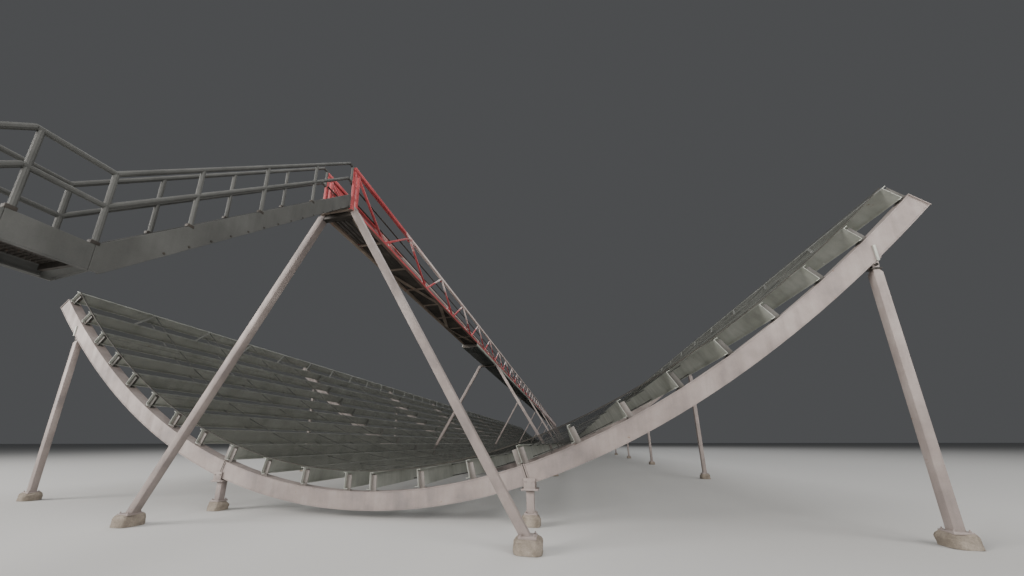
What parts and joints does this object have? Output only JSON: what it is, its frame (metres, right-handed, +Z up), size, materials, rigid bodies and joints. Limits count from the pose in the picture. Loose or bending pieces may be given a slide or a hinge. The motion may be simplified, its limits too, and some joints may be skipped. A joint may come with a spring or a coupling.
{
  "type": "trough radio telescope, 1:10 scale model",
  "caption": "Fixed parabolic trough of wire mesh on curved steel ribs and columns, with a red walkway truss on slanted legs along its focal line and a stair at one end; 1:10 scale model.",
  "frame": {"origin": "middle of the whole length and width, on the ground", "axes": "+Z up, +Y along the trough away from the stair, +X to the right when looking along +Y"},
  "size_m": [2.1236, 11.055, 0.6934],
  "materials": {
    "mesh": "dull galvanised wire mesh, modelled as a thin sheet",
    "steel": "weathered light grey steel with rust at the joints",
    "galvanised": "dull galvanised steel",
    "red_paint": "faded red paint, worn pale along the top",
    "deck": "dark weathered steel",
    "housing": "dark grey sheet metal",
    "concrete": "rough cast concrete of the footings, drawn over the foot of each frame"
  },
  "bodies": {
    "root": {"feed_housing": "housing", "handrail_left": "galvanised", "handrail_right": "galvanised", "leg_frame_1": "steel", "leg_frame_2": "steel", "leg_frame_3": "steel", "leg_frame_4": "steel", "leg_frame_5": "steel", "leg_frame_6": "steel", "leg_frame_7": "steel", "leg_frame_8": "steel", "mesh_row_left_1": "mesh", "mesh_row_left_2": "mesh", "mesh_row_left_3": "mesh", "mesh_row_left_4": "mesh", "mesh_row_right_1": "mesh", "mesh_row_right_2": "mesh", "mesh_row_right_3": "mesh", "mesh_row_right_4": "mesh", "purlin_row_left_1": "galvanised", "purlin_row_left_2": "galvanised", "purlin_row_left_3": "galvanised", "purlin_row_left_4": "galvanised", "purlin_row_right_1": "galvanised", "purlin_row_right_2": "galvanised", "purlin_row_right_3": "galvanised", "purlin_row_right_4": "galvanised", "rib_frame_01": "steel", "rib_frame_02": "steel", "rib_frame_03": "steel", "rib_frame_04": "steel", "rib_frame_05": "steel", "rib_frame_06": "steel", "rib_frame_07": "steel", "rib_frame_08": "steel", "rib_frame_09": "steel", "rib_frame_10": "steel", "rib_frame_11": "steel", "stair_landing": "galvanised", "stair_lower_flight": "galvanised", "stair_upper_flight": "galvanised", "truss_side_left": "red_paint", "truss_side_right": "red_paint", "walkway_deck": "deck"}
  },
  "joints": []
}
